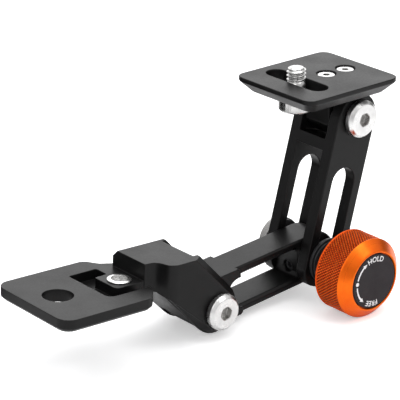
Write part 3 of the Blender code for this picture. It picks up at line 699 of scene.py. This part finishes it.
# name, place, side of the square in metres, power in watts
SOFTBOXES = [
    ("softbox_top", (0.10, 0.05, 0.75), 0.6, 2.7),
    ("softbox_left", (-0.55, -0.35, 0.40), 0.4, 0.8),
    ("softbox_front", (0.24, -0.45, 0.68), 0.34, 1.0),
    ("softbox_back", (0.78, 0.86, 0.46), 1.2, 5.0),
]
CARD_TARGET = Vector((0.101, -0.033, -0.003)) + SHIFT    # by the knob
LOW_CARD = SHIFT + Vector((-0.09, 0.21, -0.0235))
CARD_DISTANCE = 0.5
RIGHT_CARD = CARD_TARGET + Vector((0.964, 0.012, 0.27)) * CARD_DISTANCE
CAMERA_CARD = CARD_TARGET + Vector((-0.608, -0.704, 0.364)) * CARD_DISTANCE
# name, place, target, width, height
CARDS = [
    ("card_behind", LOW_CARD, LOW_CARD - FLOOR_NORMAL, 0.30, 0.38),
    ("card_right", RIGHT_CARD, CARD_TARGET, 0.30, 0.16),
    ("card_camera", CAMERA_CARD, CARD_TARGET, 0.16, 0.12),
]
CAMERA_PLACE = Vector((-0.34812347, -0.46487048, 0.24856215)) + SHIFT
CAMERA_FORWARD = Vector((0.61551121, 0.70935002, -0.34346543))
CAMERA_RIGHT = Vector((0.76421065, -0.64372202, 0.040050583))


def grid_mesh(name, segments, size):
    """Square grid reaching `size` either side of its centre."""
    bm = bmesh.new()
    bmesh.ops.create_grid(bm, x_segments=segments, y_segments=segments, size=size)
    return finish_mesh(bm, name)


def build_floor():
    """Pale floor that glows a little to the camera only."""
    floor = add_object("floor", grid_mesh("floor", segments=8, size=3.0))
    y_axis = Vector((0, 1, 0))
    floor.matrix_world = axes_matrix(y_axis.cross(FLOOR_NORMAL), y_axis, FLOOR_NORMAL,
                                     FLOOR_POINT)
    s = Shader("pale_floor")
    s.bump(s.noise(scale=40, detail=2), strength=0.02, distance=0.0002)
    camera_ray = s.add("LightPath", {}).outputs["Is Camera Ray"]
    floor.data.materials.append(s.done(
        Base_Color=(0.93, 0.93, 0.935), Roughness=0.75, Specular_IOR_Level=0.1,
        Emission_Color=(1, 1, 1), Emission_Strength=s.times(camera_ray, 0.42)))


def build_world():
    """A vertical grey ramp lights the bracket; the camera itself sees plain white."""
    world = bpy.data.worlds.new("studio")
    scene.world = world
    world.use_nodes = True
    nodes, link = world.node_tree.nodes, world.node_tree.links.new
    incoming = nodes.new("ShaderNodeNewGeometry").outputs["Incoming"]
    split = nodes.new("ShaderNodeSeparateXYZ")
    link(incoming, split.inputs[0])
    height = nodes.new("ShaderNodeMath")
    height.operation = "MULTIPLY_ADD"
    link(split.outputs[2], height.inputs[0])
    height.inputs[1].default_value = -0.5
    height.inputs[2].default_value = 0.5
    ramp = nodes.new("ShaderNodeValToRGB")
    link(height.outputs[0], ramp.inputs[0])
    low, high = ramp.color_ramp.elements
    low.position, low.color = 0.45, (0.55, 0.55, 0.56, 1)
    high.position, high.color = 0.85, (1.0, 1.0, 1.0, 1)
    lighting = nodes["Background"]
    link(ramp.outputs[0], lighting.inputs[0])
    lighting.inputs[1].default_value = 0.75
    backdrop = nodes.new("ShaderNodeBackground")
    backdrop.inputs[0].default_value = (1, 1, 1, 1)
    backdrop.inputs[1].default_value = 1.05
    choice = nodes.new("ShaderNodeMixShader")
    link(nodes.new("ShaderNodeLightPath").outputs["Is Camera Ray"], choice.inputs[0])
    link(lighting.outputs[0], choice.inputs[1])
    link(backdrop.outputs[0], choice.inputs[2])
    link(choice.outputs[0], nodes["World Output"].inputs[0])


def build_lights():
    for name, place, size, power in SOFTBOXES:
        light = bpy.data.lights.new(name, "AREA")
        light.shape = "RECTANGLE"
        light.size = size
        light.size_y = size
        light.energy = power
        add_object(name, light).matrix_world = aimed(Vector(place), LIGHT_TARGET)


def build_cards():
    """Black cards seen only in reflections: they darken what is turned towards them."""
    black = Shader("black_card").done(Base_Color=(0.01, 0.01, 0.01), Roughness=0.9,
                                      Specular_IOR_Level=0.0)
    for name, place, target, width, height in CARDS:
        card = add_object(name, grid_mesh(name, segments=1, size=0.5))
        card.matrix_world = aimed(place, target) @ Matrix.Diagonal((width, height, 1, 1))
        card.data.materials.append(black)
        for ray in ("camera", "diffuse", "shadow", "transmission", "volume_scatter"):
            setattr(card, "visible_" + ray, False)


def build_camera():
    data = bpy.data.cameras.new("camera")
    camera = add_object("camera", data)
    camera.matrix_world = axes_matrix(CAMERA_RIGHT, CAMERA_RIGHT.cross(CAMERA_FORWARD),
                                      -CAMERA_FORWARD, CAMERA_PLACE)
    data.sensor_fit = "HORIZONTAL"
    data.sensor_width = 36.0
    data.lens = 187.063425
    data.clip_start = 0.02
    scene.camera = camera
    scene.view_settings.view_transform = "Standard"
    scene.view_settings.look = "None"


build_packed_pieces()
build_knob()
build_face_disc()
build_camera_screw()
build_floor()
build_world()
build_lights()
build_cards()
build_camera()
